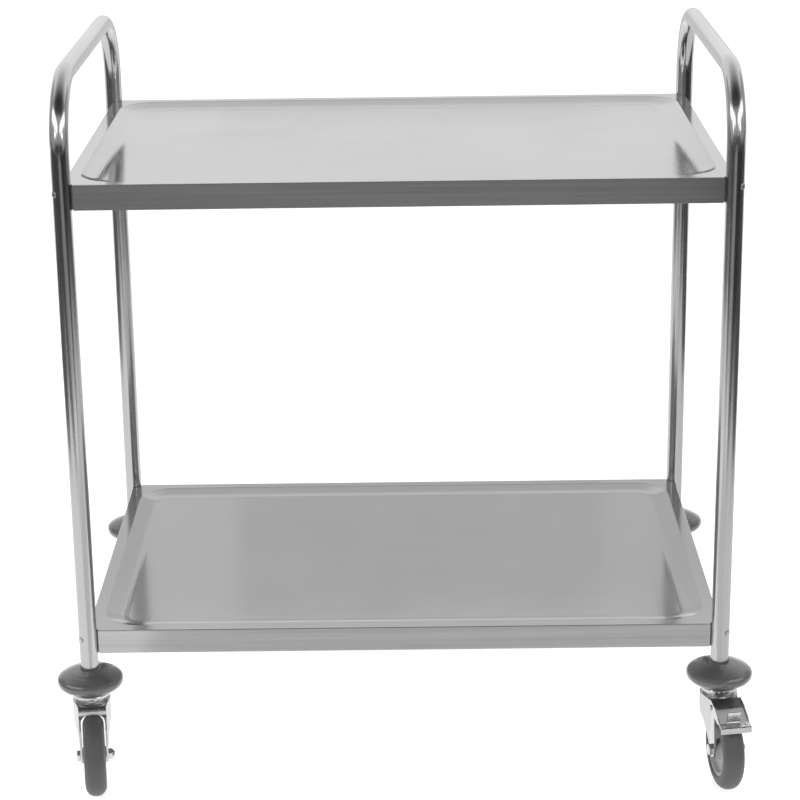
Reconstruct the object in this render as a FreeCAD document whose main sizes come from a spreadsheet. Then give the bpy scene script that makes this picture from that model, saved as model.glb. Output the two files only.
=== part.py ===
import FreeCAD, Part
import math
import os
import Sketcher

# Two-shelf stainless instrument cart, real size, millimetres.
# +Z is up, the origin is on the floor under the middle of the cart, X runs along the long
# side and the front of the cart faces -Y.

doc = FreeCAD.newDocument("instrument_cart")
Vector = FreeCAD.Vector
Rotation = FreeCAD.Rotation
Placement = FreeCAD.Placement

# ---------------------------------------------------------------------------------------
# Driving sizes
# ---------------------------------------------------------------------------------------

SIZES = {
    # end frames
    "leg_pitch_x": 770.0,
    "leg_pitch_y": 510.0,
    "tube_radius": 11.0,
    "tube_wall": 1.2,
    "tube_foot": 141.0,
    "handle_height": 870.0,
    "handle_bend": 85.0,
    # trays
    "upper_tray_top": 754.0,
    "lower_tray_top": 200.0,
    "skirt_height": 30.0,
    "tray_sheet": 1.2,
    "corner_notch": 12.2,
    "hem_width": 10.0,
    "rim_width": 15.0,
    "recess_depth": 6.0,
    "slope_run": 28.0,
    "rim_corner": 45.0,
    "skirt_bend": 0.9,
    "stiffener_length": 640.0,
    "stiffener_height": 16.0,
    "stiffener_width": 60.0,
    "stiffener_foot": 15.0,
    "stiffener_sheet": 1.2,
    # tray fixings
    "saddle_inner": 11.05,
    "saddle_outer": 12.15,
    "saddle_height": 27.0,
    "saddle_above": 7.5,
    "fixing_drop": 9.0,
    "fixing_radius": 3.0,
    "fixing_hole": 3.25,
    "fixing_head_radius": 3.9,
    "fixing_head": 0.9,
    "fixing_flats": 10.0,
    "fixing_nut": 5.0,
    # bumper
    "bumper_radius": 40.0,
    "bumper_middle": 137.0,
    "bumper_above": 16.0,
    "bumper_below": 10.0,
    # castor
    "wheel_radius": 50.0,
    "wheel_width": 26.0,
    "castor_trail": 35.0,
    "crown_top": 111.0,
    "crown_radius": 23.0,
    "fork_sheet": 2.5,
    "fork_half_width": 17.0,
    "kingpin_radius": 4.5,
    "stem_radius": 6.0,
    "stem_top": 182.0,
    "axle_radius": 4.0,
    "axle_head": 4.2,
    "axle_nut": 6.0,
    "axle_flats": 13.0,
    "hub_radius": 33.0,
    "tyre_shoulder": 12.2,
    "running_gap": 0.05,
    # brake
    "pedal_sheet": 1.6,
    "pedal_half_width": 18.9,
    "pedal_pin_radius": 2.0,
    "pedal_pin_trail": 33.0,
    "pedal_pin_height": 105.0,
    "tongue_width": 16.0,
    "shoe_width": 20.0,
}


def write_sheet():
    """Put every driving size in a spreadsheet, one row each, named by its alias."""
    sheet = doc.addObject("Spreadsheet::Sheet", "dims")
    for row, (alias, value) in enumerate(SIZES.items(), start=1):
        sheet.set("A%d" % row, alias)
        sheet.set("B%d" % row, "%g" % value)
        sheet.setAlias("B%d" % row, alias)
    doc.recompute()


class Dim:
    """A length that knows both its number and the sheet expression behind it."""

    def __init__(self, value, text):
        self.value = value
        self.text = text

    def __add__(self, other):
        other = as_dim(other)
        return Dim(self.value + other.value, "(%s + %s)" % (self.text, other.text))

    def __radd__(self, other):
        return as_dim(other) + self

    def __sub__(self, other):
        other = as_dim(other)
        return Dim(self.value - other.value, "(%s - %s)" % (self.text, other.text))

    def __rsub__(self, other):
        return as_dim(other) - self

    def __mul__(self, factor):
        return Dim(self.value * factor, "(%s * %r)" % (self.text, float(factor)))

    def __rmul__(self, factor):
        return self * factor

    def __truediv__(self, factor):
        return self * (1.0 / factor)

    def __neg__(self):
        return self * -1.0


def as_dim(number):
    if isinstance(number, Dim):
        return number
    return Dim(float(number), "%.9f" % number)


def size(name):
    """The named size from the sheet."""
    return Dim(SIZES[name], "dims.%s" % name)


# ---------------------------------------------------------------------------------------
# Sketch and feature helpers
# ---------------------------------------------------------------------------------------

def new_body(name):
    body = doc.addObject("PartDesign::Body", name)
    body.Label = name
    return body


def plane_of(body, role):
    for feature in body.Origin.OriginFeatures:
        if feature.Role == role:
            return feature
    raise ValueError("no origin plane " + role)


def new_sketch(body, name, role="XY_Plane", offset=0.0):
    """A sketch on one of the body's own planes, lifted along the plane's normal."""
    sketch = body.newObject("Sketcher::SketchObject", name)
    sketch.AttachmentSupport = [(plane_of(body, role), "")]
    sketch.MapMode = "FlatFace"
    offset = as_dim(offset)
    sketch.AttachmentOffset = Placement(Vector(0, 0, offset.value), Rotation())
    sketch.setExpression("AttachmentOffset.Base.z", offset.text)
    return sketch


def fix_coordinate(sketch, kind, geo, pos, dim):
    """Tie one coordinate of a point to the sheet; a zero puts the point on the axis."""
    if abs(dim.value) < 1e-9:
        axis = -2 if kind == "DistanceX" else -1
        sketch.addConstraint(Sketcher.Constraint("PointOnObject", geo, pos, axis))
        return
    index = sketch.addConstraint(Sketcher.Constraint(kind, -1, 1, geo, pos, dim.value))
    sketch.setExpression("Constraints[%d]" % index, dim.text)


def fix_point(sketch, geo, pos, point):
    fix_coordinate(sketch, "DistanceX", geo, pos, point[0])
    fix_coordinate(sketch, "DistanceY", geo, pos, point[1])


def add_loop(sketch, steps):
    """A closed outline. Each step is (x, y) for a straight edge to the next point, or
    (x, y, radius, centre_x, centre_y, turn) for an arc; turn is +1 anticlockwise."""
    count = len(steps)
    points = [(as_dim(step[0]), as_dim(step[1])) for step in steps]
    first = sketch.GeometryCount
    for index, step in enumerate(steps):
        here = points[index]
        there = points[(index + 1) % count]
        start = Vector(here[0].value, here[1].value, 0)
        end = Vector(there[0].value, there[1].value, 0)
        if len(step) == 2:
            sketch.addGeometry(Part.LineSegment(start, end), False)
            continue
        radius, centre_x, centre_y = as_dim(step[2]), as_dim(step[3]), as_dim(step[4])
        centre = Vector(centre_x.value, centre_y.value, 0)
        turn = step[5]
        angles = [math.atan2((p - centre).y, (p - centre).x) for p in (start, end)]
        if turn < 0:
            angles.reverse()
        if angles[1] <= angles[0]:
            angles[1] += 2 * math.pi
        circle = Part.Circle(centre, Vector(0, 0, 1), radius.value)
        sketch.addGeometry(Part.ArcOfCircle(circle, angles[0], angles[1]), False)

    def ends(index):
        """The point numbers (1 start, 2 end) where edge `index` begins and finishes."""
        step = steps[index]
        return (2, 1) if len(step) == 6 and step[5] < 0 else (1, 2)

    for index, step in enumerate(steps):
        geo = first + index
        following = (index + 1) % count
        fix_point(sketch, geo, ends(index)[0], points[index])
        sketch.addConstraint(Sketcher.Constraint(
            "Coincident", geo, ends(index)[1], first + following, ends(following)[0]))
        if len(step) == 6:
            radius = as_dim(step[2])
            number = sketch.addConstraint(Sketcher.Constraint("Radius", geo, radius.value))
            sketch.setExpression("Constraints[%d]" % number, radius.text)


def add_circle(sketch, x, y, radius):
    """A full circle held by its centre and radius."""
    x, y, radius = as_dim(x), as_dim(y), as_dim(radius)
    circle = Part.Circle(Vector(x.value, y.value, 0), Vector(0, 0, 1), radius.value)
    geo = sketch.addGeometry(circle, False)
    if abs(x.value) < 1e-9 and abs(y.value) < 1e-9:
        sketch.addConstraint(Sketcher.Constraint("Coincident", geo, 3, -1, 1))
    else:
        fix_point(sketch, geo, 3, (x, y))
    index = sketch.addConstraint(Sketcher.Constraint("Radius", geo, radius.value))
    sketch.setExpression("Constraints[%d]" % index, radius.text)


def hexagon(flats):
    """Corners of a hexagon with the given size across its flats."""
    corner = flats / math.sqrt(3.0)
    return [(corner * math.cos(k * math.pi / 3), corner * math.sin(k * math.pi / 3))
            for k in range(6)]


def rounded_rectangle(length, width, radius):
    """Steps for a centred rectangle with round corners."""
    x, y = length / 2, width / 2
    r = radius
    return [
        (-(x - r), -y),
        (x - r, -y, r, x - r, -(y - r), 1),
        (x, -(y - r)),
        (x, y - r, r, x - r, y - r, 1),
        (x - r, y),
        (-(x - r), y, r, -(x - r), y - r, 1),
        (-x, y - r),
        (-x, -(y - r), r, -(x - r), -(y - r), 1),
    ]


def pad(body, sketch, length, both_ways=False, backwards=False):
    feature = body.newObject("PartDesign::Pad", sketch.Name + "_pad")
    feature.Profile = sketch
    length = as_dim(length)
    feature.Length = length.value
    feature.setExpression("Length", length.text)
    if both_ways:
        feature.SideType = "Symmetric"
    feature.Reversed = backwards
    sketch.Visibility = False
    doc.recompute()
    return feature


def pocket(body, sketch, length, both_ways=False, backwards=False):
    """Cut the sketch's prism away, and make sure that it took something."""
    before = body.Shape.Volume
    feature = body.newObject("PartDesign::Pocket", sketch.Name + "_pocket")
    feature.Profile = sketch
    length = as_dim(length)
    feature.Length = length.value
    feature.setExpression("Length", length.text)
    if both_ways:
        feature.SideType = "Symmetric"
    feature.Reversed = backwards
    sketch.Visibility = False
    doc.recompute()
    if body.Shape.Volume > before - 1e-6:
        raise RuntimeError("pocket %s cut nothing" % sketch.Name)
    return feature


def revolve(body, sketch):
    """Turn a half profile about the sketch's upright axis."""
    feature = body.newObject("PartDesign::Revolution", sketch.Name + "_turned")
    feature.Profile = sketch
    feature.ReferenceAxis = (sketch, ["V_Axis"])
    feature.Angle = 360.0
    sketch.Visibility = False
    doc.recompute()
    return feature


def turned_body(name, steps):
    """A body made by turning one closed (radius, height) outline."""
    body = new_body(name)
    sketch = new_sketch(body, name + "_profile", "XZ_Plane")
    add_loop(sketch, steps)
    revolve(body, sketch)
    return body


def round_edges(body, radius, wanted):
    """Fillet the edges of the body that the test picks."""
    radius = as_dim(radius)
    base = body.Tip
    names = ["Edge%d" % (k + 1) for k, edge in enumerate(base.Shape.Edges) if wanted(edge)]
    feature = body.newObject("PartDesign::Fillet", body.Name + "_round")
    feature.Base = (base, names)
    feature.Radius = radius.value
    feature.setExpression("Radius", radius.text)
    doc.recompute()
    return feature


# ---------------------------------------------------------------------------------------
# Where things stand
# ---------------------------------------------------------------------------------------

# Each corner: name, side along X, side along Y, angle of the castor as it stands, brake.
# The castor's wheel trails toward -Y at zero, and a positive angle turns it anticlockwise
# seen from above. The back pair is the front pair turned half round.
CORNERS = [
    ("front_left", -1, -1, 8.0, False),
    ("front_right", 1, -1, 9.0, True),
    ("back_left", -1, 1, 189.0, False),
    ("back_right", 1, 1, 188.0, True),
]


def corner_place(side_x, side_y, angle=0.0, local=None):
    """Placement of a piece that belongs to one leg, in the leg's own frame."""
    local = local or Placement()
    base = Vector(side_x * SIZES["leg_pitch_x"] / 2, side_y * SIZES["leg_pitch_y"] / 2, 0)
    return Placement(base, Rotation(Vector(0, 0, 1), angle)).multiply(local)


nodes = []


def keep(part, name, placement=None):
    """Name a finished sub-part, place it, and list it for export."""
    part.Label = name
    if placement is not None:
        part.Placement = placement
    nodes.append(part)
    return part


# ---------------------------------------------------------------------------------------
# End frames: one bent tube each, up one leg, over the handle and down the other
# ---------------------------------------------------------------------------------------

def tube_path(body, name):
    """Centre line of an end frame in the YZ plane."""
    sketch = new_sketch(body, name, "YZ_Plane")
    half = size("leg_pitch_y") / 2
    foot, top, bend = size("tube_foot"), size("handle_height"), size("handle_bend")
    corners = [(-half, foot), (-half, top - bend), (-half + bend, top),
               (half - bend, top), (half, top - bend), (half, foot)]
    vectors = [Vector(y.value, z.value, 0) for y, z in corners]
    centres = [(-half + bend, top - bend), (half - bend, top - bend)]
    circles = [Part.Circle(Vector(y.value, z.value, 0), Vector(0, 0, 1), bend.value)
               for y, z in centres]
    sketch.addGeometry(Part.LineSegment(vectors[0], vectors[1]), False)
    sketch.addGeometry(Part.ArcOfCircle(circles[0], math.pi / 2, math.pi), False)
    sketch.addGeometry(Part.LineSegment(vectors[2], vectors[3]), False)
    sketch.addGeometry(Part.ArcOfCircle(circles[1], 0, math.pi / 2), False)
    sketch.addGeometry(Part.LineSegment(vectors[4], vectors[5]), False)
    for geo, pos, corner in ((0, 1, 0), (0, 2, 1), (2, 1, 2), (2, 2, 3), (4, 1, 4), (4, 2, 5)):
        fix_point(sketch, geo, pos, corners[corner])
    for first, first_end, second, second_end in ((0, 2, 1, 2), (1, 1, 2, 1), (2, 2, 3, 2),
                                                 (3, 1, 4, 1)):
        sketch.addConstraint(Sketcher.Constraint(
            "Coincident", first, first_end, second, second_end))
    for geo in (1, 3):
        index = sketch.addConstraint(Sketcher.Constraint("Radius", geo, bend.value))
        sketch.setExpression("Constraints[%d]" % index, bend.text)
    return sketch


def end_frame(name, side):
    """Bent tube with its four fixing holes, drilled right through on the diagonal."""
    body = new_body(name + "_tube")
    path = tube_path(body, name + "_path")
    ring = new_sketch(body, name + "_ring", "XY_Plane", size("tube_foot"))
    start = -(size("leg_pitch_y") / 2)
    add_circle(ring, 0, start, size("tube_radius"))
    add_circle(ring, 0, start, size("tube_radius") - size("tube_wall"))
    doc.recompute()
    pipe = body.newObject("PartDesign::AdditivePipe", name + "_pipe")
    pipe.Profile = ring
    pipe.Spine = path
    for sketch in (path, ring):
        sketch.Visibility = False
    doc.recompute()

    drills = []
    for label, side_y in (("front", -1), ("back", 1)):
        for level in ("upper_tray_top", "lower_tray_top"):
            drill = doc.addObject("Part::Cylinder", "%s_%s_%s_drill" % (name, label, level))
            drill.setExpression("Radius", "dims.fixing_hole")
            drill.setExpression("Height", "2 * (dims.tube_radius + 1)")
            inward = Vector(-side, -side_y, 0).normalize()
            turn = Rotation(Vector(0, 0, 1), inward)
            axis = Vector(0, side_y * SIZES["leg_pitch_y"] / 2,
                          SIZES[level] - SIZES["fixing_drop"])
            drill.Placement = Placement(axis - inward * (SIZES["tube_radius"] + 1), turn)
            drill.Visibility = False
            drills.append(drill)
    cutter = doc.addObject("Part::MultiFuse", name + "_drills")
    cutter.Shapes = drills
    frame = doc.addObject("Part::Cut", name)
    frame.Base = body
    frame.Tool = cutter
    for part in (body, cutter):
        part.Visibility = False
    keep(frame, name, Placement(Vector(side * SIZES["leg_pitch_x"] / 2, 0, 0), Rotation()))


# ---------------------------------------------------------------------------------------
# Trays: folded and pressed sheet with notched corners, a turned-down skirt and a hem
# ---------------------------------------------------------------------------------------

def notched_outline(inset, notch):
    """Tray outline, inset from the leg lines, with a round notch about each leg."""
    x, y = size("leg_pitch_x") / 2, size("leg_pitch_y") / 2
    near = inset
    # where the inset edge meets the notch circle
    reach = Dim(math.sqrt(notch.value ** 2 - near.value ** 2),
                "sqrt(%s ^ 2 - %s ^ 2)" % (notch.text, near.text))
    return [
        (-(x - reach), -(y - near)),
        (x - reach, -(y - near), notch, x, -y, -1),
        (x - near, -(y - reach)),
        (x - near, y - reach, notch, x, y, -1),
        (x - reach, y - near),
        (-(x - reach), y - near, notch, -x, y, -1),
        (-(x - near), y - reach),
        (-(x - near), -(y - reach), notch, -x, -y, -1),
    ]


# The pressed slope from rim to floor: a small lip at the rim, a straight fall, then a long
# curved foot that runs out level with the floor.
RIM_LIP = (0.016, 0.055)
FOOT_START = 0.4
FOOT_STEPS = 6


def slope_profile():
    """Points down the slope, as (share of the run, share of the depth)."""
    rest = 1.0 - FOOT_START
    curve = 1.0 / (rest * (2.0 * FOOT_START + rest))
    foot = [FOOT_START + rest * step / FOOT_STEPS for step in range(FOOT_STEPS + 1)]
    return [(0.0, 0.0), RIM_LIP] + [(run, 1.0 - curve * (1.0 - run) ** 2) for run in foot]


def slope_sections(body, name, drop, height):
    """Stacked rounded rectangles down the pressed slope, lowered by `drop`."""
    sections = []
    length = size("leg_pitch_x") - 2 * size("rim_width")
    width = size("leg_pitch_y") - 2 * size("rim_width")
    for number, (run, fall) in enumerate(slope_profile()):
        inset = run * size("slope_run")
        level = height - fall * size("recess_depth") - drop
        sketch = new_sketch(body, "%s_%d" % (name, number), "XY_Plane", level)
        add_loop(sketch, rounded_rectangle(length - 2 * inset, width - 2 * inset,
                                           size("rim_corner") - inset))
        sections.append(sketch)
    doc.recompute()
    return sections


def loft(body, kind, name, sections):
    feature = body.newObject(kind, name)
    feature.Profile = sections[0]
    feature.Sections = sections[1:]
    feature.Ruled = True
    for sketch in sections:
        sketch.Visibility = False
    doc.recompute()
    return feature


def tray(name, top_name):
    """One tray, modelled with its top at its own height above the floor."""
    body = new_body(name)
    sheet, top = size("tray_sheet"), size(top_name)
    skirt = size("skirt_height")

    outline = new_sketch(body, name + "_outline", "XY_Plane", top)
    add_loop(outline, notched_outline(as_dim(0.0), size("corner_notch")))
    pad(body, outline, skirt, backwards=True)

    hollow = new_sketch(body, name + "_hollow", "XY_Plane", top - sheet)
    add_loop(hollow, notched_outline(sheet, size("corner_notch") + sheet))
    pocket(body, hollow, skirt - 2 * sheet)

    mouth = new_sketch(body, name + "_mouth", "XY_Plane", top - skirt + sheet)
    add_loop(mouth, notched_outline(size("hem_width"), size("corner_notch") + size("hem_width")))
    pocket(body, mouth, sheet + 1)

    under = slope_sections(body, name + "_under", sheet, top)
    loft(body, "PartDesign::AdditiveLoft", name + "_dish", under)
    inside = slope_sections(body, name + "_inside", as_dim(0.0), top)
    loft(body, "PartDesign::SubtractiveLoft", name + "_recess", inside)

    half_x, half_y = SIZES["leg_pitch_x"] / 2, SIZES["leg_pitch_y"] / 2

    def top_bend(edge):
        """The four straight bends between rim and skirt."""
        centre = edge.CenterOfMass
        at_top = abs(centre.z - SIZES[top_name]) < 1e-6 and edge.Length > half_y
        return at_top and (abs(abs(centre.x) - half_x) < 1e-6
                           or abs(abs(centre.y) - half_y) < 1e-6)

    round_edges(body, size("skirt_bend"), top_bend)
    keep(body, name)


def stiffener(name, top_name):
    """Folded hat channel that runs along the underside of a tray's floor."""
    body = new_body(name)
    half = size("stiffener_width") / 2
    foot, sheet, deep = size("stiffener_foot"), size("stiffener_sheet"), size("stiffener_height")
    roof = size(top_name) - size("recess_depth") - size("tray_sheet")
    sketch = new_sketch(body, name + "_section", "YZ_Plane")
    inner = half - foot
    add_loop(sketch, [
        (-half, roof), (-half, roof - sheet), (-inner - sheet, roof - sheet),
        (-inner - sheet, roof - deep), (inner + sheet, roof - deep),
        (inner + sheet, roof - sheet), (half, roof - sheet), (half, roof),
        (inner, roof), (inner, roof - deep + sheet), (-inner, roof - deep + sheet),
        (-inner, roof),
    ])
    pad(body, sketch, size("stiffener_length"), both_ways=True)
    keep(body, name)


# ---------------------------------------------------------------------------------------
# Tray fixings: a curved liner, a dome-headed bolt and a nut at each corner of each tray
# ---------------------------------------------------------------------------------------

SADDLE_HALF_ANGLE = math.radians(44.0)


def saddle(name):
    """Curved liner that fills the gap between tube and notch, about its own +X."""
    body = new_body(name)
    foot = size("saddle_above") - size("saddle_height")
    sketch = new_sketch(body, name + "_plan", "XY_Plane", foot)
    inner, outer = size("saddle_inner"), size("saddle_outer")
    c, s = math.cos(SADDLE_HALF_ANGLE), math.sin(SADDLE_HALF_ANGLE)
    add_loop(sketch, [
        (inner * c, -(inner * s)),
        (outer * c, -(outer * s), outer, 0, 0, 1),
        (outer * c, outer * s),
        (inner * c, inner * s, inner, 0, 0, -1),
    ])
    pad(body, sketch, size("saddle_height"))
    hole = new_sketch(body, name + "_hole", "YZ_Plane")
    add_circle(hole, 0, 0, size("fixing_hole"))
    pocket(body, hole, 4 * outer, both_ways=True)
    return body


def fixing_bolt(name):
    """Bolt along +Z: dome head outside the tube, shank right through to the tray."""
    shank, dome = size("fixing_radius"), size("fixing_head_radius")
    seat = -(size("tube_radius") + size("running_gap"))
    crest = seat - size("fixing_head")
    end = size("corner_notch") + size("tray_sheet") + size("fixing_nut") + 1.5
    return turned_body(name, [
        (0, crest), (dome - 1.6, crest + 0.1), (dome - 0.5, crest + 0.4), (dome, seat),
        (shank, seat), (shank, end - 0.8), (shank - 0.8, end), (0, end),
    ])


def fixing_nut(name):
    """Hexagon nut on the tray's side of the bolt, along +Z."""
    body = new_body(name)
    face = size("corner_notch") + size("tray_sheet") + size("running_gap")
    sketch = new_sketch(body, name + "_flats", "XY_Plane", face)
    add_loop(sketch, hexagon(size("fixing_flats")))
    add_circle(sketch, 0, 0, size("fixing_radius") + size("running_gap"))
    pad(body, sketch, size("fixing_nut"))
    return body


def corner_group(name, maker, top_name, lie_down):
    """Four like pieces, one at each leg, as one node of separate solids. `lie_down` turns
    a piece drawn along its own Z so that it points inward from the leg."""
    pieces = []
    height = SIZES[top_name] - SIZES["fixing_drop"]
    turn = Rotation(Vector(0, 1, 0), 90) if lie_down else Rotation()
    for corner, side_x, side_y, _, _ in CORNERS:
        piece = maker("%s_%s" % (name, corner))
        inward = math.degrees(math.atan2(-side_y, -side_x))
        lift = Placement(Vector(0, 0, height), turn)
        piece.Placement = corner_place(side_x, side_y, inward, lift)
        piece.Visibility = False
        pieces.append(piece)
    group = doc.addObject("Part::Compound", name)
    group.Links = pieces
    keep(group, name)


def tray_corner_holes(tray_body, top_name):
    """Drill the tray's notch walls for the fixing bolts."""
    drills = []
    for corner, side_x, side_y, _, _ in CORNERS:
        drill = doc.addObject("Part::Cylinder", "%s_%s_hole" % (tray_body.Name, corner))
        drill.setExpression("Radius", "dims.fixing_hole")
        drill.setExpression("Height", "dims.corner_notch + 4")
        inward = Vector(-side_x, -side_y, 0)
        height = SIZES[top_name] - SIZES["fixing_drop"]
        base = Vector(side_x * SIZES["leg_pitch_x"] / 2, side_y * SIZES["leg_pitch_y"] / 2,
                      height)
        drill.Placement = Placement(base, Rotation(Vector(0, 0, 1), inward))
        drill.Visibility = False
        drills.append(drill)
    cutter = doc.addObject("Part::MultiFuse", tray_body.Name + "_drills")
    cutter.Shapes = drills
    drilled = doc.addObject("Part::Cut", tray_body.Name + "_drilled")
    drilled.Base = tray_body
    drilled.Tool = cutter
    nodes.remove(tray_body)
    label = tray_body.Label
    tray_body.Label = label + "_pressing"
    keep(drilled, label)


# ---------------------------------------------------------------------------------------
# Castors. Every piece is drawn with the swivel axis on Z and the axle at y = -trail.
# ---------------------------------------------------------------------------------------

def bumper(name):
    """Round bumper disc: shallow domed top, rounded rim, tapered underside."""
    middle, radius = size("bumper_middle"), size("bumper_radius")
    top, bottom = middle + size("bumper_above"), middle - size("bumper_below")
    socket = size("tube_radius") + size("running_gap")
    neck = size("stem_radius") + size("running_gap")
    floor = size("tube_foot") - 0.1
    return turned_body(name, [
        (neck, bottom), (radius - 8, bottom), (radius - 4, bottom + 1.2),
        (radius - 1.4, bottom + 4), (radius - 0.2, middle - 3.2), (radius, middle - 1.6),
        (radius, middle + 0.8), (radius - 0.7, middle + 2.6), (radius - 2.2, middle + 4.4),
        (radius - 5.5, middle + 6.6), (radius - 11, middle + 9.4),
        (radius - 18, middle + 12), (radius - 25, middle + 13.6),
        (socket + 1.7, middle + 14), (socket + 1.2, top - 0.4), (socket, top - 0.8),
        (socket, floor), (neck, floor),
    ])


def swivel_head(name):
    """Fixed half of the swivel: stem, neck, upper race and the riveted kingpin."""
    stem, pin = size("stem_radius"), size("kingpin_radius")
    crown, radius = size("crown_top"), size("crown_radius")
    neck_top = size("bumper_middle") - size("bumper_below") - 0.05
    under = crown + 4.5
    return turned_body(name, [
        (0, size("stem_top")), (0, crown - 9), (pin + 3.4, crown - 9),
        (pin + 3.8, crown - 7), (pin + 1.5, crown - 3), (pin, crown - 2.8),
        (pin, under), (radius - 4, under), (radius - 1.2, under + 0.2),
        (radius - 0.2, under + 1), (radius, under + 2.2), (radius - 0.1, under + 4),
        (radius - 1, under + 5.6), (radius - 2.8, under + 6.4), (radius - 6, under + 6.8),
        (radius - 8, neck_top - 2), (radius - 9, neck_top), (stem, neck_top),
        (stem, size("stem_top") - 2),
        (stem - 2, size("stem_top")),
    ])


def stem_plug(name):
    """Plastic sleeve that grips the stem inside the tube."""
    inner = size("stem_radius") + size("running_gap")
    outer = size("tube_radius") - size("tube_wall") - size("running_gap")
    low, high = size("tube_foot") + 1, size("stem_top") - 4
    return turned_body(name, [
        (inner, low), (outer - 0.8, low), (outer, low + 2), (outer, high - 2),
        (outer - 0.8, high), (inner, high),
    ])


def lower_race(name):
    """Ball race pressed round the kingpin on the fork's crown; it turns with the fork."""
    pin = size("kingpin_radius") + size("running_gap")
    crown = size("crown_top")
    outer = size("crown_radius") - 3.5
    return turned_body(name, [
        (pin + 3, crown), (outer - 0.6, crown), (outer, crown + 0.9), (outer, crown + 2.8),
        (outer - 0.7, crown + 3.8), (outer - 2.4, crown + 4.1), (pin + 3, crown + 4.1),
    ])


CROWN_SHOULDER = math.radians(20)   # where the round crown runs out into the cheeks
CHEEK_START = 26.0                  # from here forward the cheeks run straight
LEG_FOOT = 36.0                     # height of the lowest metal of the legs
BLANK_EDGE = (70.0, 20.0)           # well outside the fork, forward and down
ARCH_PEAK, ARCH_BEND = 101.6, 9.0   # the way for the wheel: its height and its corners


def fork(name, braked):
    """Pressed steel fork: a teardrop-shaped shell cut to two legs, with an arched front."""
    body = new_body(name)
    sheet, radius = size("fork_sheet"), size("crown_radius")
    half, crown = size("fork_half_width"), size("crown_top")
    trail, axle_z = size("castor_trail"), size("wheel_radius")
    c, s = math.cos(CROWN_SHOULDER), math.sin(CROWN_SHOULDER)
    blank = crown - LEG_FOOT

    def teardrop(gap, front):
        """Outline seen from above, `gap` inside the outer face."""
        r = radius - gap
        x = half - gap
        return [(-x, -front), (x, -front), (x, -CHEEK_START), (r * c, -(r * s), r, 0, 0, 1),
                (-(r * c), -(r * s)), (-x, -CHEEK_START)]

    plan = new_sketch(body, name + "_plan", "XY_Plane", crown)
    add_loop(plan, teardrop(as_dim(0.0), trail + 13))
    pad(body, plan, blank, backwards=True)

    # everything outside the side view is cut off, in one piece
    side = new_sketch(body, name + "_side", "YZ_Plane")
    far, low = BLANK_EDGE
    if braked:
        nose = [(-26, crown - 0.6), (-31, crown - 1.8), (-36, crown - 2.8),
                (-41, crown - 6.5)]
    else:
        nose = [(-25.5, crown - 1.1), (-29.6, crown - 3.2), (-31.2, crown - 5),
                (-31.6, crown - 9.4), (-33.0, crown - 14)]
    outline = [(-20.5, crown)] + nose + [
        (-(trail + 7), axle_z + 36), (-(trail + 9.5), axle_z + 16), (-(trail + 10), axle_z),
        (-(trail + 7), axle_z - 7), (-trail, axle_z - 10), (-(trail - 7), axle_z - 7),
        (-(trail - 10), axle_z + 2), (-(trail - 17), axle_z + 16), (-8, axle_z + 31),
        (10, axle_z + 45), (radius - 0.4, crown - 8), (radius + 1, crown),
    ]
    rest = [(far, crown), (far, low), (-far, low), (-far, crown)]
    add_loop(side, outline + rest)
    pocket(body, side, 4 * radius, both_ways=True)

    hollow = new_sketch(body, name + "_hollow", "XY_Plane", crown - sheet)
    add_loop(hollow, teardrop(sheet, as_dim(CHEEK_START + 0.2)))
    pocket(body, hollow, blank)

    # arched way for the wheel between the legs
    arch = new_sketch(body, name + "_arch", "XZ_Plane", 20)
    x = half - sheet
    peak, bend = as_dim(ARCH_PEAK), ARCH_BEND
    add_loop(arch, [
        (-x, low), (x, low), (x, peak - bend, bend, x - bend, peak - bend, 1),
        (x - bend, peak), (-(x - bend), peak, bend, -(x - bend), peak - bend, 1),
        (-x, peak - bend),
    ])
    pocket(body, arch, 60, backwards=True)

    pin_hole = new_sketch(body, name + "_kingpin_hole", "XY_Plane", crown + 1)
    add_circle(pin_hole, 0, 0, size("kingpin_radius") + size("running_gap"))
    pocket(body, pin_hole, 12)

    holes = new_sketch(body, name + "_axle_holes", "YZ_Plane")
    add_circle(holes, -trail, axle_z, size("axle_radius") + size("running_gap"))
    if braked:
        add_circle(holes, -size("pedal_pin_trail"), size("pedal_pin_height"),
                   size("pedal_pin_radius") + size("running_gap"))
    pocket(body, holes, 4 * radius, both_ways=True)
    return body


def tyre(name):
    """Grey tyre turned about its own Z: narrow crown, full round shoulders, plain sides."""
    radius, half = size("wheel_radius"), size("wheel_width") / 2
    seat = size("hub_radius")
    crown, shoulder = half - size("tyre_shoulder"), size("tyre_shoulder")
    return turned_body(name, [
        (seat, half - 1.5), (seat, -(half - 1.5)), (seat + 1.5, -half),
        (radius - shoulder, -half, shoulder, radius - shoulder, -crown, 1),
        (radius, -crown), (radius, crown, shoulder, radius - shoulder, crown, 1),
        (radius - shoulder, half), (seat + 1.5, half),
    ])


def hub(name):
    """Moulded wheel centre turned about its own Z: rim, dished web and long boss."""
    bore = size("axle_radius") + size("running_gap")
    seat, half = size("hub_radius") - size("running_gap"), size("wheel_width") / 2
    rim, web = half - 1.6, 7.0
    boss = size("fork_half_width") - size("fork_sheet") - 0.3
    return turned_body(name, [
        (bore, boss), (bore, -boss), (bore + 5.5, -boss), (bore + 7, -(half - 3)),
        (bore + 9, -web), (seat - 6, -web), (seat - 3.5, -rim), (seat, -rim),
        (seat, rim), (seat - 3.5, rim), (seat - 6, web), (bore + 9, web),
        (bore + 7, half - 3), (bore + 5.5, boss),
    ])


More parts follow.
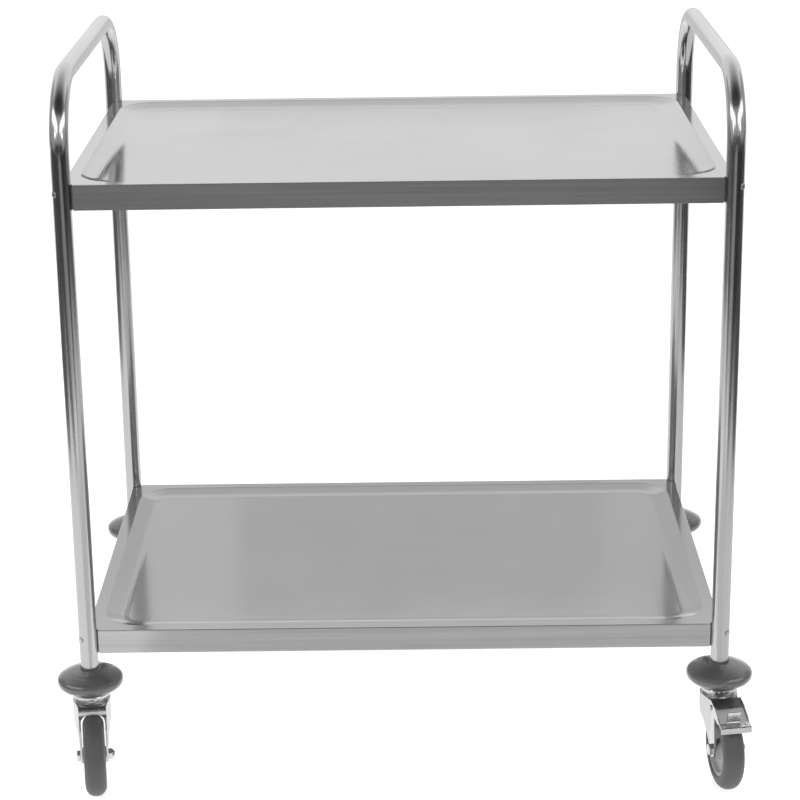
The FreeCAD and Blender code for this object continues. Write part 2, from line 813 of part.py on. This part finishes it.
def axle_bolt(name):
    """Axle turned along its own Z: plain shank with a hex head at the low end."""
    body = new_body(name)
    half = size("fork_half_width")
    shank = new_sketch(body, name + "_shank", "XY_Plane", -half)
    add_circle(shank, 0, 0, size("axle_radius"))
    pad(body, shank, 2 * half + size("axle_nut") + 1.6)
    head = new_sketch(body, name + "_head", "XY_Plane", -half - 0.05)
    add_loop(head, hexagon(size("axle_flats")))
    pad(body, head, size("axle_head"), backwards=True)
    neck = new_sketch(body, name + "_neck", "XY_Plane", -half - 0.05)
    add_circle(neck, 0, 0, size("axle_radius"))
    pad(body, neck, 0.1)
    return body


def axle_nut(name):
    """Lock nut on the axle's far end, with its round collar outside."""
    body = new_body(name)
    face = size("fork_half_width") + 0.05
    bore = size("axle_radius") + 0.02
    flats = new_sketch(body, name + "_flats", "XY_Plane", face)
    add_loop(flats, hexagon(size("axle_flats")))
    pad(body, flats, size("axle_nut") - 1.8)
    collar = new_sketch(body, name + "_collar", "XY_Plane", face + size("axle_nut") - 1.8)
    add_circle(collar, 0, 0, size("axle_flats") / 2 - 0.6)
    pad(body, collar, 1.8)
    hole = new_sketch(body, name + "_hole", "XY_Plane", face - 1)
    add_circle(hole, 0, 0, bore)
    pocket(body, hole, size("axle_nut") + 4, backwards=True)
    return body


# ---------------------------------------------------------------------------------------
# Brake: pressed pedal over the wheel, its shoe, and the pin they turn on
# ---------------------------------------------------------------------------------------

# Side views of the pedal as (y, z), with the swivel axis at y = 0.
PEDAL_CHEEK = [(-29.5, 114.6), (-48, 111.4), (-61, 105.2), (-68.4, 100.2), (-77.6, 98.6),
               (-78.8, 97.6), (-79.5, 91), (-78, 90.9), (-77.4, 96.6), (-67, 98.3),
               (-62, 96.2), (-56, 97.4), (-48, 98.8), (-38, 98.9), (-31.5, 99.2),
               (-29.5, 101.5)]
BELOW_PLATE = [(-28, 112.2), (-47.4, 107.2), (-67, 98.3), (-67, 85), (-28, 85)]
ABOVE_PLATE = [(-28, 114), (-47.8, 108.9), (-68.6, 99.9), (-75, 103), (-60, 120), (-28, 120)]
TONGUE = [(-64.6, 100.2), (-67.4, 113.2), (-68.2, 114), (-69, 113.4), (-66.3, 100.2)]
SHOE = [(-48.5, 106.65), (-57, 102.79), (-57, 99), (-48.5, 101.3)]
# Two slots in the flat part of the foot lip, as (near, far) along X.
LIP_SLOTS = [(2.0, 6.4), (8.4, 12.8)]
SLOT_FRONT, SLOT_BACK = -75.6, -71.8
SLOT_CUT_FROM, SLOT_CUT_DEPTH = 103.0, 8.0


def brake_pedal(name):
    """Pressed pedal: two cheeks over the fork's ears, a sunk plate between them with an
    upright release tongue, and a foot lip that turns down above the tyre."""
    body = new_body(name)
    half = size("pedal_half_width")
    between_cheeks = 2 * (half - size("pedal_sheet"))
    side = new_sketch(body, name + "_side", "YZ_Plane")
    add_loop(side, PEDAL_CHEEK)
    pad(body, side, 2 * half, both_ways=True)
    for label, outline in (("under", BELOW_PLATE), ("above", ABOVE_PLATE)):
        sketch = new_sketch(body, "%s_%s" % (name, label), "YZ_Plane")
        add_loop(sketch, outline)
        pocket(body, sketch, between_cheeks, both_ways=True)
    tongue = new_sketch(body, name + "_tongue", "YZ_Plane")
    add_loop(tongue, TONGUE)
    pad(body, tongue, size("tongue_width"), both_ways=True)
    slots = new_sketch(body, name + "_slots", "XY_Plane", SLOT_CUT_FROM)
    for near, far in LIP_SLOTS:
        add_loop(slots, [(near, SLOT_FRONT), (far, SLOT_FRONT), (far, SLOT_BACK),
                         (near, SLOT_BACK)])
    pocket(body, slots, SLOT_CUT_DEPTH)
    holes = new_sketch(body, name + "_holes", "YZ_Plane")
    add_circle(holes, -size("pedal_pin_trail"), size("pedal_pin_height"),
               size("pedal_pin_radius") + size("running_gap"))
    pocket(body, holes, 3 * half, both_ways=True)
    return body


def brake_shoe(name):
    """Block under the pedal plate that the foot presses on the tyre."""
    body = new_body(name)
    side = new_sketch(body, name + "_side", "YZ_Plane")
    add_loop(side, SHOE)
    pad(body, side, size("shoe_width"), both_ways=True)
    return body


def brake_pin(name):
    """Riveted pivot pin across the fork's ears, drawn along its own Z."""
    body = new_body(name)
    half, radius = size("pedal_half_width") + 0.1, size("pedal_pin_radius")
    shank = new_sketch(body, name + "_shank", "XY_Plane", -half)
    add_circle(shank, 0, 0, radius)
    pad(body, shank, 2 * half)
    for label, start, backwards in (("low", -half, True), ("high", half, False)):
        head = new_sketch(body, "%s_%s" % (name, label), "XY_Plane", start)
        add_circle(head, 0, 0, radius + 1.4)
        pad(body, head, 1.2, backwards=backwards)
    return body


def castor(corner, side_x, side_y, angle, braked):
    """All the pieces of one castor and its bumper, stood under its leg."""
    upright = Placement()
    # turns a piece drawn along Z so that it lies along the axle
    across = Placement(Vector(0, -SIZES["castor_trail"], SIZES["wheel_radius"]),
                       Rotation(Vector(0, 1, 0), 90))
    pin_across = Placement(Vector(0, -SIZES["pedal_pin_trail"], SIZES["pedal_pin_height"]),
                           Rotation(Vector(0, 1, 0), 90))
    keep(bumper("bumper_" + corner), "bumper_" + corner, corner_place(side_x, side_y))
    pieces = [
        (stem_plug, "stem_plug_", upright),
        (swivel_head, "swivel_head_", upright),
        (lower_race, "lower_race_", upright),
        (tyre, "tyre_", across),
        (hub, "wheel_hub_", across),
        (axle_bolt, "axle_bolt_", across),
        (axle_nut, "axle_nut_", across),
    ]
    if braked:
        pieces += [
            (brake_pedal, "brake_pedal_", upright),
            (brake_shoe, "brake_shoe_", upright),
            (brake_pin, "brake_pin_", pin_across),
        ]
    for maker, stem, local in pieces:
        keep(maker(stem + corner), stem + corner,
             corner_place(side_x, side_y, angle, local))
    name = "castor_fork_" + corner
    keep(fork(name, braked), name, corner_place(side_x, side_y, angle))


# ---------------------------------------------------------------------------------------
# Build, check and write
# ---------------------------------------------------------------------------------------

def check_and_write():
    doc.recompute()
    for item in doc.Objects:
        bad = [word for word in item.State if word in ("Invalid", "Error")]
        if bad:
            raise RuntimeError("%s is %s" % (item.Name, bad))
    os.makedirs("parts", exist_ok=True)
    for part in nodes:
        shape = part.Shape
        if shape.isNull() or not shape.isValid():
            raise RuntimeError("%s has a bad shape" % part.Label)
        shape.exportStep("parts/%s.step" % part.Label)
        print("%-32s %10.1f mm3  %d solid(s)" % (part.Label, shape.Volume, len(shape.Solids)))
    print(len(nodes), "sub-parts written")


write_sheet()
end_frame("end_frame_left", -1)
end_frame("end_frame_right", 1)
for tray_name, top in (("upper_tray", "upper_tray_top"), ("lower_tray", "lower_tray_top")):
    tray(tray_name, top)
    tray_corner_holes(doc.getObject(tray_name), top)
    level = tray_name.split("_")[0]
    stiffener(level + "_tray_stiffener", top)
    corner_group(level + "_corner_saddles", saddle, top, False)
    corner_group(level + "_tray_bolts", fixing_bolt, top, True)
    corner_group(level + "_tray_nuts", fixing_nut, top, True)
for corner_data in CORNERS:
    castor(*corner_data)
check_and_write()
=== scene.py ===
import math

import bpy
from mathutils import Matrix, Vector

# Looks for the two-shelf instrument cart: its metal, plastic and rubber, and a plain
# studio round it. Metres, same frame as the model: the cart's front looks toward -Y.

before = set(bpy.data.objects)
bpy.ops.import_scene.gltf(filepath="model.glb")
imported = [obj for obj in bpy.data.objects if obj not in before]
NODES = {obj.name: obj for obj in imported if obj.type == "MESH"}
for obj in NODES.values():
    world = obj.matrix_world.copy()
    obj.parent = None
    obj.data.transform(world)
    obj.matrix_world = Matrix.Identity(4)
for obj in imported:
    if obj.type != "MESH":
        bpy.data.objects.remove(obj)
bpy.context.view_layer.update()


# ---------------------------------------------------------------------------------------
# Node helpers
# ---------------------------------------------------------------------------------------

# Detail and roughness of a noise.
SOFT_NOISE = (2.0, 0.5)
EVEN_NOISE = (3.0, 0.5)
FINE_NOISE = (4.0, 0.6)


def grey(value):
    return (value, value, value, 1.0)


class Graph:
    """A small builder for one material's nodes."""

    def __init__(self, name):
        self.material = bpy.data.materials.new(name)
        self.material.use_nodes = True
        self.tree = self.material.node_tree
        self.tree.nodes.clear()
        self.shader = self.node("ShaderNodeBsdfPrincipled")
        out = self.node("ShaderNodeOutputMaterial")
        self.link(self.shader.outputs["BSDF"], out.inputs["Surface"])
        coords = self.node("ShaderNodeTexCoord")
        self.object_coords = coords.outputs["Object"]
        self.sheet_coords = coords.outputs["Generated"]

    def node(self, kind, **settings):
        made = self.tree.nodes.new(kind)
        for name, value in settings.items():
            setattr(made, name, value)
        return made

    def link(self, output, target):
        self.tree.links.new(output, target)

    def set(self, **values):
        """Values on the shader's own sockets, with _ for the space in a socket's name."""
        for name, value in values.items():
            self.shader.inputs[name.replace("_", " ")].default_value = value

    def stretched(self, scale):
        """Object coordinates scaled by a different amount along each axis."""
        mapping = self.node("ShaderNodeMapping")
        mapping.inputs["Scale"].default_value = scale
        self.link(self.object_coords, mapping.inputs["Vector"])
        return mapping.outputs["Vector"]

    def noise(self, vector, per_metre, character):
        """Noise with about this many features to the metre."""
        made = self.node("ShaderNodeTexNoise")
        made.inputs["Scale"].default_value = per_metre
        made.inputs["Detail"].default_value, made.inputs["Roughness"].default_value = character
        self.link(vector, made.inputs["Vector"])
        return made.outputs["Fac"]

    def spread(self, fac, low, high, start=0.0, end=1.0):
        """Map a factor from start..end to low..high."""
        made = self.node("ShaderNodeMapRange")
        made.inputs["From Min"].default_value = start
        made.inputs["From Max"].default_value = end
        made.inputs["To Min"].default_value = low
        made.inputs["To Max"].default_value = high
        self.link(fac, made.inputs["Value"])
        return made.outputs["Result"]

    def add(self, first, second):
        made = self.node("ShaderNodeMath", operation="ADD")
        self.link(first, made.inputs[0])
        self.link(second, made.inputs[1])
        return made.outputs[0]

    def multiply(self, first, second):
        made = self.node("ShaderNodeMath", operation="MULTIPLY")
        self.link(first, made.inputs[0])
        self.link(second, made.inputs[1])
        return made.outputs[0]

    def tint(self, fac, dark, light):
        """A grey between two tones."""
        made = self.node("ShaderNodeMix", data_type="RGBA")
        made.inputs[6].default_value = grey(dark)
        made.inputs[7].default_value = grey(light)
        self.link(fac, made.inputs[0])
        return made.outputs[2]

    def between(self, fac, first, second):
        """The first output where the factor is 0, the second where it is 1."""
        made = self.node("ShaderNodeMix", data_type="FLOAT")
        self.link(fac, made.inputs[0])
        self.link(first, made.inputs[2])
        self.link(second, made.inputs[3])
        return made.outputs[0]

    def levelness(self):
        """1 on level faces, 0 on upright ones."""
        facing = self.node("ShaderNodeSeparateXYZ")
        self.link(self.node("ShaderNodeNewGeometry").outputs["Normal"], facing.inputs[0])
        size = self.node("ShaderNodeMath", operation="ABSOLUTE")
        self.link(facing.outputs["Z"], size.inputs[0])
        return size.outputs[0]

    def faded_upright(self, share):
        """1 at the middle height of an upright sheet, falling to 0 at its top and foot."""
        place = self.node("ShaderNodeSeparateXYZ")
        self.link(self.sheet_coords, place.inputs[0])
        rise = self.spread(place.outputs["Z"], 0.0, 1.0, 0.0, share)
        fall = self.spread(place.outputs["Z"], 1.0, 0.0, 1.0 - share, 1.0)
        return self.multiply(rise, fall)

    def roughness_from(self, level):
        self.link(level, self.shader.inputs["Roughness"])

    def tone_from(self, fac, dark, light):
        self.link(self.tint(fac, dark, light), self.shader.inputs["Base Color"])

    def relief_from(self, height, strength, depth, edge_radius):
        """Bump of a real depth over edges that are softened to a real radius."""
        edge = self.node("ShaderNodeBevel")
        edge.samples = 6
        edge.inputs["Radius"].default_value = edge_radius
        bump = self.node("ShaderNodeBump")
        bump.inputs["Strength"].default_value = strength
        bump.inputs["Distance"].default_value = depth
        self.link(height, bump.inputs["Height"])
        self.link(edge.outputs["Normal"], bump.inputs["Normal"])
        self.link(bump.outputs["Normal"], self.shader.inputs["Normal"])


# ---------------------------------------------------------------------------------------
# Kinds of surface
# ---------------------------------------------------------------------------------------


def brushed_steel(name, tone, rough, level_grain, upright_grain, relief, upright_marks=0.4):
    """Satin steel: fine grain lines, coarser marks along them, and faint smears. A grain is
    how many lines to the metre there are along each axis, on level and on upright faces. The
    marks are as strong as `upright_marks` on upright faces and fainter on level ones."""
    level_marks = 0.1
    mark_fineness = 0.5
    graph = Graph(name)
    graph.set(Metallic=1.0)
    levelness = graph.levelness()

    def grain_noise(share, character):
        level, upright = [
            graph.noise(graph.stretched([count * share for count in grain]), 1.0, character)
            for grain in (level_grain, upright_grain)
        ]
        return graph.between(levelness, upright, level)

    lines = grain_noise(1.0, FINE_NOISE)
    marks = grain_noise(mark_fineness, SOFT_NOISE)
    smear = graph.noise(graph.object_coords, per_metre=6.0, character=EVEN_NOISE)
    graph.roughness_from(graph.add(graph.spread(lines, -0.05, 0.05),
                                   graph.spread(smear, rough - 0.03, rough + 0.05, 0.3, 0.7)))
    mark_shade = graph.multiply(graph.spread(marks, -1.0, 1.0),
                                graph.spread(levelness, upright_marks, level_marks))
    shade = graph.add(graph.spread(lines, 0.35, 0.65), mark_shade)
    graph.tone_from(shade, tone * 0.93, tone * 1.06)
    graph.relief_from(lines, relief, depth=0.00006, edge_radius=0.0004)
    return graph.material


def zinc_plate(name, tone, rough):
    """Bright zinc on pressed steel: soft pooled tone changes and fine pitting."""
    graph = Graph(name)
    graph.set(Metallic=1.0)
    pools = graph.noise(graph.object_coords, per_metre=60.0, character=EVEN_NOISE)
    pits = graph.noise(graph.object_coords, per_metre=900.0, character=SOFT_NOISE)
    graph.roughness_from(graph.spread(pools, rough - 0.06, rough + 0.08, 0.3, 0.7))
    graph.tone_from(pools, tone * 0.88, tone * 1.06)
    graph.relief_from(pits, 0.25, depth=0.00008, edge_radius=0.0005)
    return graph.material


def moulded(name, tone, rough, coat=0.0):
    """Moulded plastic or rubber: fine skin texture and soft handled patches."""
    graph = Graph(name)
    graph.set(Metallic=0.0, Coat_Weight=coat, Coat_Roughness=0.1)
    skin = graph.noise(graph.object_coords, per_metre=1400.0, character=SOFT_NOISE)
    patch = graph.noise(graph.object_coords, per_metre=45.0, character=FINE_NOISE)
    graph.roughness_from(graph.spread(patch, rough - 0.04, rough + 0.06, 0.2, 0.8))
    graph.tone_from(patch, tone * 0.95, tone * 1.05)
    graph.relief_from(skin, 0.3, depth=0.00008, edge_radius=0.0006)
    return graph.material


def floor_paper(name, tone, glow):
    """Pale matt floor with a faint paper tooth; the glow lifts the shadows."""
    graph = Graph(name)
    tooth = graph.noise(graph.object_coords, per_metre=30.0, character=EVEN_NOISE)
    graph.tone_from(tooth, tone * 0.99, tone)
    graph.set(Roughness=0.7, Specular_IOR_Level=0.2, Emission_Color=grey(1.0),
              Emission_Strength=glow)
    return graph.material


def card_cloth(name, tone, fade):
    """Even glow with a faint cloth mottle. With `fade` it is dimmer over that share of the
    card's height at its top and foot."""
    graph = Graph(name)
    cloth = graph.noise(graph.object_coords, per_metre=12.0, character=SOFT_NOISE)
    graph.link(graph.tint(cloth, tone * 0.9, tone * 1.1), graph.shader.inputs["Emission Color"])
    graph.set(Base_Color=grey(0.0), Specular_IOR_Level=0.0, Emission_Strength=1.0)
    if fade is not None:
        graph.link(graph.faded_upright(fade), graph.shader.inputs["Emission Strength"])
    return graph.material


# ---------------------------------------------------------------------------------------
# Materials on the model's own nodes
# ---------------------------------------------------------------------------------------

# The trays' grain runs along X on their floors and level round their skirts. The tubes' runs
# up the legs and along the tops of the handles.
TRAY_STEEL = brushed_steel("tray_steel", 0.42, 0.125, level_grain=(5.0, 420.0, 420.0),
                           upright_grain=(5.0, 5.0, 420.0), relief=0.2, upright_marks=1.6)
TUBE_STEEL = brushed_steel("tube_steel", 0.50, 0.18, level_grain=(600.0, 9.0, 600.0),
                           upright_grain=(600.0, 600.0, 9.0), relief=0.10)
FIXING_STEEL = brushed_steel("fixing_steel", 0.5, 0.3, level_grain=(500.0, 500.0, 500.0),
                             upright_grain=(500.0, 500.0, 500.0), relief=0.12)
ZINC = zinc_plate("zinc_steel", 0.60, 0.2)
AXLE_ZINC = zinc_plate("axle_steel", 0.62, 0.24)
BUMPER = moulded("bumper_plastic", 0.088, 0.3, coat=0.8)
# Dark moulded look for the corner saddles: painted shade for the thin dark line where each tray
# meets its leg.
SADDLE_PAINTED_SHADE = moulded("liner_plastic", 0.1, 0.5)
PLUG = moulded("plug_plastic", 0.04, 0.5)
TYRE = moulded("tyre_rubber", 0.076, 0.5)
HUB = moulded("hub_plastic", 0.33, 0.45)
SHOE = moulded("shoe_rubber", 0.04, 0.6)

# Each key is how the names of one kind of node begin.
LOOKS = {
    "end_frame": TUBE_STEEL,
    "upper_tray": TRAY_STEEL,
    "lower_tray": TRAY_STEEL,
    # The saddles' dark is painted shade at the trays' corners.
    "upper_corner": SADDLE_PAINTED_SHADE,
    "lower_corner": SADDLE_PAINTED_SHADE,
    "upper_tray_bolts": FIXING_STEEL,
    "lower_tray_bolts": FIXING_STEEL,
    "upper_tray_nuts": FIXING_STEEL,
    "lower_tray_nuts": FIXING_STEEL,
    "bumper": BUMPER,
    "stem_plug": PLUG,
    "swivel_head": ZINC,
    "lower_race": ZINC,
    "castor_fork": ZINC,
    "brake_pedal": ZINC,
    "brake_pin": AXLE_ZINC,
    "brake_shoe": SHOE,
    "axle_bolt": AXLE_ZINC,
    "axle_nut": AXLE_ZINC,
    "tyre": TYRE,
    "wheel_hub": HUB,
}


def look_for(node):
    """The look of the longest key that the node's name begins with."""
    fitting = [key for key in LOOKS if node.startswith(key)]
    return LOOKS[max(fitting, key=len)]


for node_name, obj in NODES.items():
    obj.data.materials.clear()
    obj.data.materials.append(look_for(node_name))

# ---------------------------------------------------------------------------------------
# Studio: floor, reflection cards and far walls
# ---------------------------------------------------------------------------------------


def sheet_object(name, corners, material):
    """A single flat quad that belongs to the studio, not to the cart."""
    mesh = bpy.data.meshes.new(name)
    mesh.from_pydata(corners, [], [(0, 1, 2, 3)])
    sheet = bpy.data.objects.new(name, mesh)
    bpy.context.scene.collection.objects.link(sheet)
    mesh.materials.append(material)
    return sheet


def level_corners(low, high, z):
    return [(low[0], low[1], z), (high[0], low[1], z), (high[0], high[1], z),
            (low[0], high[1], z)]


def standing_corners(start, end, foot, top):
    """An upright sheet between two floor points, from one height to another."""
    return [(*start, foot), (*end, foot), (*end, top), (*start, top)]


def flag(name, corners, tone, fade=None):
    """A card that only reflections see, as a photographer sets beside bright metal."""
    card = sheet_object(name, corners, card_cloth(name, tone, fade))
    card.visible_camera = False
    card.visible_diffuse = False
    card.visible_shadow = False
    return card


def far_wall(name, start, end):
    """Pale backdrop that only the camera sees, so that the background stays pale."""
    wall = flag(name, standing_corners(start, end, WALL_FOOT, WALL_TOP), WALL_TONE)
    wall.visible_camera = True
    wall.visible_glossy = False
    wall.visible_transmission = False


FLOOR_REACH = 16.0
WALL_REACH = 15.9
WALL_FOOT = -0.5
WALL_TOP = 14.0
WALL_TONE = 1.05
CARD_REACH = 15.0
# Cards on the floor lie on two levels, so that those that overlap aren't in one plane.
UNDER_LIFT = 0.002
CARD_LIFT = 0.004
# The left and right cards end at the front edge, where the nearer ones begin.
FRONT_EDGE = -1.45
BACK_EDGE = 1.2

sheet_object("pale_floor",
             level_corners((-FLOOR_REACH, -FLOOR_REACH), (FLOOR_REACH, FLOOR_REACH), 0.0),
             floor_paper("pale_floor", 0.86, glow=0.66))

# Mirrored in the upper tray's skirt: it widens away from the cart.
flag("front_card", [(-1.99, -CARD_REACH, CARD_LIFT), (1.94, -CARD_REACH, CARD_LIFT),
                    (0.68, -1.75, CARD_LIFT), (-0.78, -1.75, CARD_LIFT)], 0.35)

# Name, low corner, high corner, height and tone. The first is mirrored in the lower tray's
# skirt. The dark far ones are mirrored high on the legs, and the bright near ones low on them.
FLOOR_CARDS = (
    ("near_card", (-0.36, FRONT_EDGE), (0.5, -0.5), CARD_LIFT, 0.86),
    ("left_card", (-CARD_REACH, -CARD_REACH), (-0.40, FRONT_EDGE), UNDER_LIFT, 0.07),
    ("right_card", (0.40, -CARD_REACH), (CARD_REACH, FRONT_EDGE), UNDER_LIFT, 0.035),
    ("left_side_card", (-CARD_REACH, FRONT_EDGE), (-1.6, BACK_EDGE), CARD_LIFT, 0.12),
    ("left_near_card", (-1.6, FRONT_EDGE), (-0.36, BACK_EDGE), CARD_LIFT, 1.2),
    ("right_side_card", (1.5, FRONT_EDGE), (CARD_REACH, BACK_EDGE), CARD_LIFT, 0.10),
    ("right_near_card", (0.5, FRONT_EDGE), (1.5, BACK_EDGE), CARD_LIFT, 0.95),
)
for card_name, low_corner, high_corner, lift, tone in FLOOR_CARDS:
    flag(card_name, level_corners(low_corner, high_corner, lift), tone)

# Behind the cart and mirrored in the lower tray: label, from x, to x and tone.
LOW_WALL_Y = 1.6
LOW_WALL_FOOT = 0.4
LOW_WALL_TOP = 1.02
LOW_WALL_CARDS = (("left", -2.5, -0.35, 0.9), ("middle", -0.35, 0.4, 0.78),
                  ("right", 0.4, 2.5, 0.84))
for label, from_x, to_x, tone in LOW_WALL_CARDS:
    flag("low_%s_wall_card" % label,
         standing_corners((from_x, LOW_WALL_Y), (to_x, LOW_WALL_Y), LOW_WALL_FOOT, LOW_WALL_TOP),
         tone)

# Round the cart, a pair of each: kind, start and end on the right, foot, top, tone and fade.
# Soft cards make the highlights on the handles' bends, small bright ones glint in the bumpers,
# and large dim ones keep the steel grey in the views from the ends and from behind.
FILL_REACH = 5.0
FILL_TONE = 0.5
PAIRED_CARDS = (
    ("soft", (0.8, -3.1), (3.9, -0.1), 1.85, 3.15, 3.0, 0.25),
    ("catch", (1.6, -2.1), (1.85, -1.85), 1.5, 1.75, 9.0, None),
    ("fill", (FILL_REACH, -FILL_REACH), (FILL_REACH, FILL_REACH), 0.3, 4.0, FILL_TONE, 0.2),
)
for side, label in ((-1, "left"), (1, "right")):
    for kind, start, end, foot, top, tone, fade in PAIRED_CARDS:
        flag("%s_%s_card" % (label, kind),
             standing_corners((side * start[0], start[1]), (side * end[0], end[1]), foot, top),
             tone, fade)
flag("front_fill_card",
     standing_corners((-FILL_REACH, -FILL_REACH), (FILL_REACH, -FILL_REACH), 1.3, 7.0),
     FILL_TONE, fade=0.12)

far_wall("back_wall", (-WALL_REACH, WALL_REACH), (WALL_REACH, WALL_REACH))
far_wall("front_wall", (-WALL_REACH, -WALL_REACH), (WALL_REACH, -WALL_REACH))
far_wall("left_wall", (-WALL_REACH, -WALL_REACH), (-WALL_REACH, WALL_REACH))
far_wall("right_wall", (WALL_REACH, -WALL_REACH), (WALL_REACH, WALL_REACH))

# ---------------------------------------------------------------------------------------
# Light
# ---------------------------------------------------------------------------------------


def area_light(name, place, target, width, height, watts):
    """A soft light that reflections don't see; the cards stand in for it there."""
    lamp = bpy.data.lights.new(name, "AREA")
    lamp.shape = "RECTANGLE"
    lamp.size = width
    lamp.size_y = height
    lamp.energy = watts
    lamp_object = bpy.data.objects.new(name, lamp)
    bpy.context.scene.collection.objects.link(lamp_object)
    lamp_object.location = place
    aim = Vector(target) - Vector(place)
    lamp_object.rotation_euler = aim.to_track_quat("-Z", "Y").to_euler()
    lamp_object.visible_glossy = False


LOW_TARGET = (0.0, 0.0, 0.3)
TRAY_TARGET = (0.0, 0.0, 0.8)
area_light("front_fill", (0.0, -2.6, 3.4), LOW_TARGET, width=2.6, height=1.0, watts=8.0)
area_light("left_soft_box", (-2.0, -2.1, 2.05), TRAY_TARGET, width=2.3, height=1.5, watts=44.0)
area_light("right_soft_box", (2.0, -2.1, 2.05), TRAY_TARGET, width=2.3, height=1.5, watts=39.0)

world = bpy.data.worlds.new("studio_world")
bpy.context.scene.world = world
world.use_nodes = True
world_nodes = world.node_tree.nodes
world_links = world.node_tree.links
direction = world_nodes.new("ShaderNodeTexCoord")
split = world_nodes.new("ShaderNodeSeparateXYZ")
world_links.new(direction.outputs["Generated"], split.inputs[0])


def world_range(axis, start, end, low, high):
    """A brightness that runs smoothly from low to high as a direction's share of one axis
    runs from start to end."""
    made = world_nodes.new("ShaderNodeMapRange")
    made.interpolation_type = "SMOOTHSTEP"
    made.inputs["From Min"].default_value = start
    made.inputs["From Max"].default_value = end
    made.inputs["To Min"].default_value = low
    made.inputs["To Max"].default_value = high
    world_links.new(split.outputs[axis], made.inputs["Value"])
    return made.outputs["Result"]


# Dim in front of the cart and bright behind it, all reduced toward straight above.
front_to_back = world_range("Y", start=-0.25, end=0.45, low=0.09, high=1.1)
side_to_top = world_range("Z", start=0.6, end=0.98, low=1.0, high=0.55)
brightness = world_nodes.new("ShaderNodeMath")
brightness.operation = "MULTIPLY"
world_links.new(front_to_back, brightness.inputs[0])
world_links.new(side_to_top, brightness.inputs[1])
background = world_nodes["Background"]
world_links.new(brightness.outputs[0], background.inputs["Color"])
background.inputs["Strength"].default_value = 1.0

# ---------------------------------------------------------------------------------------
# Camera
# ---------------------------------------------------------------------------------------

CAMERA_PLACE = Vector((0.0134, -2.846, 1.346))
CAMERA_PITCH = math.radians(18.26)
CAMERA_YAW = math.radians(-0.32)
CAMERA_ROLL = math.radians(0.763)
LENS_MM = 104.3
SENSOR_MM = 36.0

ahead = Vector((math.sin(CAMERA_YAW) * math.cos(CAMERA_PITCH),
                math.cos(CAMERA_YAW) * math.cos(CAMERA_PITCH), -math.sin(CAMERA_PITCH)))
right = Vector((math.cos(CAMERA_YAW), -math.sin(CAMERA_YAW), 0.0))
down = ahead.cross(right)
rolled_right = math.cos(CAMERA_ROLL) * right + math.sin(CAMERA_ROLL) * down
rolled_down = -math.sin(CAMERA_ROLL) * right + math.cos(CAMERA_ROLL) * down
camera_data = bpy.data.cameras.new("view_camera")
camera_data.sensor_width = SENSOR_MM
camera_data.lens = LENS_MM
camera = bpy.data.objects.new("view_camera", camera_data)
bpy.context.scene.collection.objects.link(camera)
facing = Matrix((rolled_right, -rolled_down, -ahead)).transposed()
camera.matrix_world = Matrix.Translation(CAMERA_PLACE) @ facing.to_4x4()
bpy.context.scene.camera = camera
bpy.context.scene.view_settings.view_transform = "Standard"
